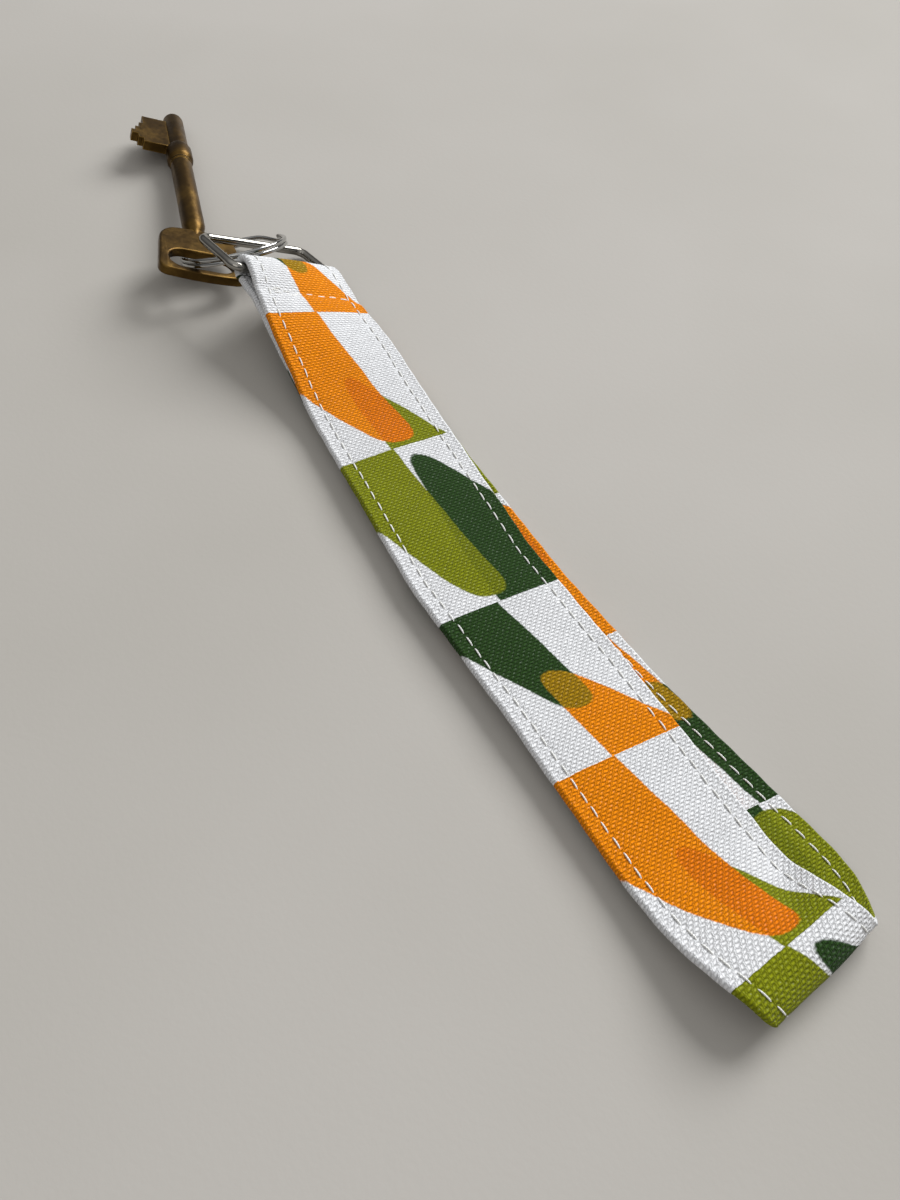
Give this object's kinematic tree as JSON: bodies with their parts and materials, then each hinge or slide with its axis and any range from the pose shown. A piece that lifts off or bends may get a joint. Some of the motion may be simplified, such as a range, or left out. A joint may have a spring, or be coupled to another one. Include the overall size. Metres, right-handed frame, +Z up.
{
  "type": "wristlet keychain",
  "caption": "Printed fabric wrist loop with edge stitching, a rectangular wire ring in its sewn end, a split ring and a lever-lock key.",
  "frame": {"origin": "under the middle of the whole keychain's box, on the surface that it lies on", "axes": "+X along the strap from the loop's fold to the rings and the key; +Y across the strap, to the left when looking along +X; +Z up"},
  "size_m": [0.2568, 0.0496, 0.0173],
  "materials": {
    "printed_fabric": "white canvas weave with a printed orange, olive and dark green geometric pattern",
    "stiffener": "matt non-woven",
    "thread": "white sewing thread",
    "plated_wire": "bright nickel plating",
    "split_ring_steel": "polished spring steel",
    "key_brass": "dark aged brass, rubbed bright on its edges"
  },
  "bodies": {
    "ring_end": {"ring_pocket_fabric": "printed_fabric", "ring_pocket_stiffener": "stiffener", "ring_pocket_stitch_left": "thread", "ring_pocket_stitch_right": "thread", "pocket_cross_stitch": "thread"},
    "upper_near": {"upper_near_fabric": "printed_fabric", "upper_near_stiffener": "stiffener", "upper_near_stitch_left": "thread", "upper_near_stitch_right": "thread"},
    "upper_far": {"upper_far_fabric": "printed_fabric", "upper_far_stiffener": "stiffener", "upper_far_stitch_left": "thread", "upper_far_stitch_right": "thread"},
    "fold_upper": {"fold_upper_fabric": "printed_fabric", "fold_upper_stiffener": "stiffener", "fold_upper_stitch_left": "thread", "fold_upper_stitch_right": "thread"},
    "fold_lower": {"fold_lower_fabric": "printed_fabric", "fold_lower_stiffener": "stiffener", "fold_lower_stitch_left": "thread", "fold_lower_stitch_right": "thread"},
    "lower_far": {"lower_far_fabric": "printed_fabric", "lower_far_stiffener": "stiffener", "lower_far_stitch_left": "thread", "lower_far_stitch_right": "thread"},
    "lower_near": {"lower_near_fabric": "printed_fabric", "lower_near_stiffener": "stiffener", "lower_near_stitch_left": "thread", "lower_near_stitch_right": "thread"},
    "wire_ring": {"wire_ring": "plated_wire"},
    "split_ring": {"split_ring": "split_ring_steel"},
    "key": {"key": "key_brass"}
  },
  "joints": [
    {"name": "loop_open", "type": "hinge", "parent": "ring_end", "child": "upper_near", "pos_m": [0.00061, -0.0002, 0.00325], "axis": [0, 1, 0], "range_deg": [0, 45]},
    {"name": "upper_bend", "type": "hinge", "parent": "upper_near", "child": "upper_far", "pos_m": [-0.05039, -0.0002, 0.00325], "axis": [0, 1, 0], "range_deg": [-90, 0]},
    {"name": "upper_fold", "type": "hinge", "parent": "upper_far", "child": "fold_upper", "pos_m": [-0.10139, -0.0002, 0.00325], "axis": [0, 1, 0], "range_deg": [0, 45]},
    {"name": "lower_open", "type": "hinge", "parent": "ring_end", "child": "lower_near", "pos_m": [0.00061, -0.0002, 0.00095], "axis": [0, 1, 0], "range_deg": [-45, 0]},
    {"name": "lower_bend", "type": "hinge", "parent": "lower_near", "child": "lower_far", "pos_m": [-0.05039, -0.0002, 0.00095], "axis": [0, 1, 0], "range_deg": [0, 90]},
    {"name": "lower_fold", "type": "hinge", "parent": "lower_far", "child": "fold_lower", "pos_m": [-0.10139, -0.0002, 0.00095], "axis": [0, 1, 0], "range_deg": [-45, 0]},
    {"name": "ring_swing", "type": "hinge", "parent": "ring_end", "child": "wire_ring", "pos_m": [0.05021, -0.0002, 0.0088], "axis": [-0.1086, 0.8844, 0.454], "range_deg": [-60, 60]},
    {"name": "split_swing", "type": "hinge", "parent": "wire_ring", "child": "split_ring", "pos_m": [0.06476, 0.00222, 0.00756], "axis": [-0.1086, 0.8844, 0.454], "range_deg": [-60, 5]},
    {"name": "key_travel", "type": "hinge", "parent": "split_ring", "child": "key", "pos_m": [0.06511, 0.0065, 0.0068], "axis": [0.4848, 0, 0.8746], "range_deg": [-60, 30]}
  ],
  "couplings": [
    {"joint": "upper_bend", "follows": "loop_open", "ratio": -2},
    {"joint": "upper_fold", "follows": "loop_open", "ratio": 1},
    {"joint": "lower_open", "follows": "loop_open", "ratio": -1},
    {"joint": "lower_bend", "follows": "loop_open", "ratio": 2},
    {"joint": "lower_fold", "follows": "loop_open", "ratio": -1}
  ]
}
